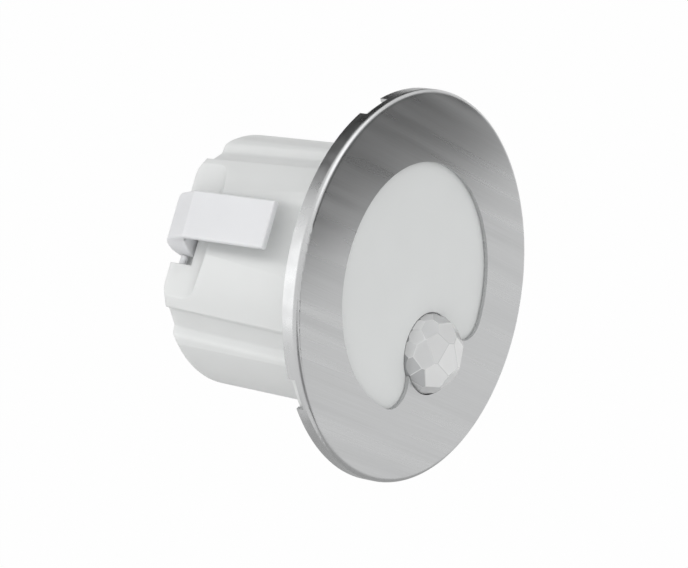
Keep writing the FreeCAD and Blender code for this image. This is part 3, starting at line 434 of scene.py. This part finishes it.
def spring_clip(name, node, half_turn):
    """The upper clip, or the lower one, which is the same half a turn round the light's axis."""
    shape = bmesh.new()
    rows = []
    for outer, inner, low, high in CLIP_STATIONS:
        rows.append([shape.verts.new(clip_point(place, across))
                     for place, across in ((outer, low), (outer, high), (inner, high), (inner, low))])
    for first, second in zip(rows, rows[1:]):
        join_rings(shape, first, second)
    shape.faces.new(rows[0])
    shape.faces.new(rows[-1])
    bmesh.ops.recalc_face_normals(shape, faces=shape.faces)
    edges = [edge for edge in shape.edges if edge.calc_face_angle() > ROUNDED_FROM]
    bmesh.ops.bevel(shape, geom=edges, offset=CLIP_ROUND, offset_type="OFFSET", segments=CLIP_ROUND_STEPS,
                    profile=0.5, affect="EDGES", clamp_overlap=True)
    for face in shape.faces:
        face.smooth = True
    pin = bmesh.ops.create_cone(shape, cap_ends=True, segments=PIN_SIDES, radius1=PIN_RADIUS,
                                radius2=PIN_RADIUS, depth=PIN_LENGTH)
    along = clip_point((0, 0), 1).normalized()
    turn = Vector((0, 0, 1)).rotation_difference(along).to_matrix().to_4x4()
    bmesh.ops.transform(shape, matrix=Matrix.Translation(clip_point(PIN_PLACE, 0)) @ turn, verts=pin["verts"])
    if half_turn:
        bmesh.ops.transform(shape, matrix=Matrix.Rotation(math.pi, 4, "Y"), verts=shape.verts)
    clip = dressed(name, shape, "clip_plastic")
    clip.data.set_sharp_from_angle(angle=SHARP_FROM)
    clip.modifiers.new("even_normals", "WEIGHTED_NORMAL").keep_sharp = True
    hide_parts(node)
    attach(clip, node)


spring_clip("upper_spring", "upper_clip", False)
spring_clip("lower_spring", "lower_clip", True)


# Camera, at the photograph's angle and with its lens, in mm

CAMERA_PLACE = (-413.4, -345.6, 287.2)
CAMERA_RIGHT = (0.5624, -0.8028, -0.1981)
CAMERA_BACK = (-0.6663, -0.5819, 0.4663)
CAMERA_LENS, CAMERA_SENSOR, CAMERA_NEAR = 157.92, 36.0, 10.0

back = Vector(CAMERA_BACK).normalized()
right = Vector(CAMERA_RIGHT)
right = (right - back * right.dot(back)).normalized()
up = back.cross(right)
camera_data = bpy.data.cameras.new("camera")
camera_data.lens = CAMERA_LENS
camera_data.sensor_width = CAMERA_SENSOR
camera_data.clip_start = CAMERA_NEAR * MM
camera = bpy.data.objects.new("camera", camera_data)
scene.collection.objects.link(camera)
place = Vector(CAMERA_PLACE) * MM
camera.matrix_world = Matrix(((right.x, up.x, back.x, place.x), (right.y, up.y, back.y, place.y),
                              (right.z, up.z, back.z, place.z), (0, 0, 0, 1)))
scene.camera = camera


# Studio: white surroundings, a soft lamp, a pale floor, and panels that show in the metal

WORLD_FILL = 0.76
LAMP_PLACE, LAMP_SIZE, LAMP_POWER = (-0.78, -0.3, 0.52), 1.8, 6.9
FLOOR_DROP, FLOOR_REACH = 0.25, 6.0
FLOOR_GREY, FLOOR_GLOW = (0.65, 0.65, 0.65, 1.0), 0.98


def seen_directly(tree):
    """1 for rays from the camera, a reflection or a clear piece, 0 for those that carry light."""
    path = add(tree, "LightPath")
    total = path.outputs["Is Camera Ray"]
    for extra in ("Is Glossy Ray", "Is Transmission Ray"):
        larger = add(tree, "Math")
        larger.operation = "MAXIMUM"
        tree.links.new(total, larger.inputs[0])
        tree.links.new(path.outputs[extra], larger.inputs[1])
        total = larger.outputs[0]
    return total


def studio_world(fill):
    """Surroundings that look white and light the object at that level."""
    world = bpy.data.worlds.new("studio")
    scene.world = world
    world.use_nodes = True
    tree = world.node_tree
    background = tree.nodes["Background"]
    background.inputs["Color"].default_value = (1.0, 1.0, 1.0, 1.0)
    tree.links.new(spread(tree, seen_directly(tree), fill, 1.0), background.inputs["Strength"])


def soft_lamp(name, spot, size, power):
    """An area lamp that faces the object and doesn't show in its gloss."""
    data = bpy.data.lights.new(name, "AREA")
    data.size = size
    data.energy = power
    lamp = bpy.data.objects.new(name, data)
    scene.collection.objects.link(lamp)
    lamp.location = spot
    lamp.rotation_euler = (-lamp.location).to_track_quat("-Z", "Y").to_euler()
    lamp.visible_camera = lamp.visible_glossy = False


def stage_sheet(name, middle, half_width, half_height):
    """A flat sheet of the studio from its middle and the vectors to two of its sides."""
    middle, half_width, half_height = Vector(middle), Vector(half_width), Vector(half_height)
    mesh = bpy.data.meshes.new(name)
    mesh.from_pydata([middle + half_width * x + half_height * z
                      for x, z in ((-1, -1), (1, -1), (1, 1), (-1, 1))], [], [(0, 1, 2, 3)])
    sheet = bpy.data.objects.new(name, mesh)
    scene.collection.objects.link(sheet)
    return sheet


def pale_floor(height):
    """A floor that lights the object as a grey one does and looks nearly white."""
    floor = stage_sheet("floor", (0.0, 0.0, height), (FLOOR_REACH, 0.0, 0.0), (0.0, FLOOR_REACH, 0.0))
    material, tree, shader = new_material("floor")
    finish(shader, Base_Color=FLOOR_GREY, Roughness=0.9)
    glow = add(tree, "Emission", Strength=1.0)
    mix = add(tree, "MixShader")
    tree.links.new(spread(tree, seen_directly(tree), 0.0, FLOOR_GLOW), mix.inputs["Fac"])
    tree.links.new(shader.outputs["BSDF"], mix.inputs[1])
    tree.links.new(glow.outputs["Emission"], mix.inputs[2])
    tree.links.new(mix.outputs["Shader"], tree.nodes["Material Output"].inputs["Surface"])
    floor.data.materials.append(material)


def panel(name, middle, half_width, half_height, brightness):
    """A dark flag or a white reflector, which only shows as a reflection."""
    sheet = stage_sheet(name, middle, half_width, half_height)
    material = bpy.data.materials.new(name)
    material.use_nodes = True
    tree = material.node_tree
    glow = add(tree, "Emission", Strength=brightness)
    tree.links.new(glow.outputs["Emission"], tree.nodes["Material Output"].inputs["Surface"])
    sheet.data.materials.append(material)
    sheet.visible_camera = sheet.visible_diffuse = False
    sheet.visible_transmission = sheet.visible_shadow = sheet.visible_volume_scatter = False


def far_panel(name, way, distance, half_size, brightness):
    """A square panel that faces the object from that way."""
    way = Vector(way).normalized()
    side = way.orthogonal().normalized()
    panel(name, way * distance, side * half_size, way.cross(side) * half_size, brightness)


scene.view_settings.view_transform = "Standard"
studio_world(WORLD_FILL)
soft_lamp("key_lamp", LAMP_PLACE, LAMP_SIZE, LAMP_POWER)
pale_floor(cad_box[0].z - FLOOR_DROP)
panel("face_flag", (0.082, -0.0675, 0.012), (0.09, 0.0, -0.018), (0.0086, 0.0, 0.043), 0.16)
far_panel("rim_flag", (0.55, 0.58, 0.60), 0.4, 0.26, 0.05)
far_panel("front_flag", (-0.55, -0.75, -0.37), 0.3, 0.11, 0.25)
panel("low_flag", (-0.01, 0.08, -0.22), (0.17, 0.0, 0.0), (0.0, 0.22, 0.0), 0.54)
far_panel("top_panel", (0.2, -0.5, 0.84), 0.5, 0.2, 1.9)
far_panel("left_panel", (-0.71, 0.58, 0.39), 0.5, 0.16, 1.8)
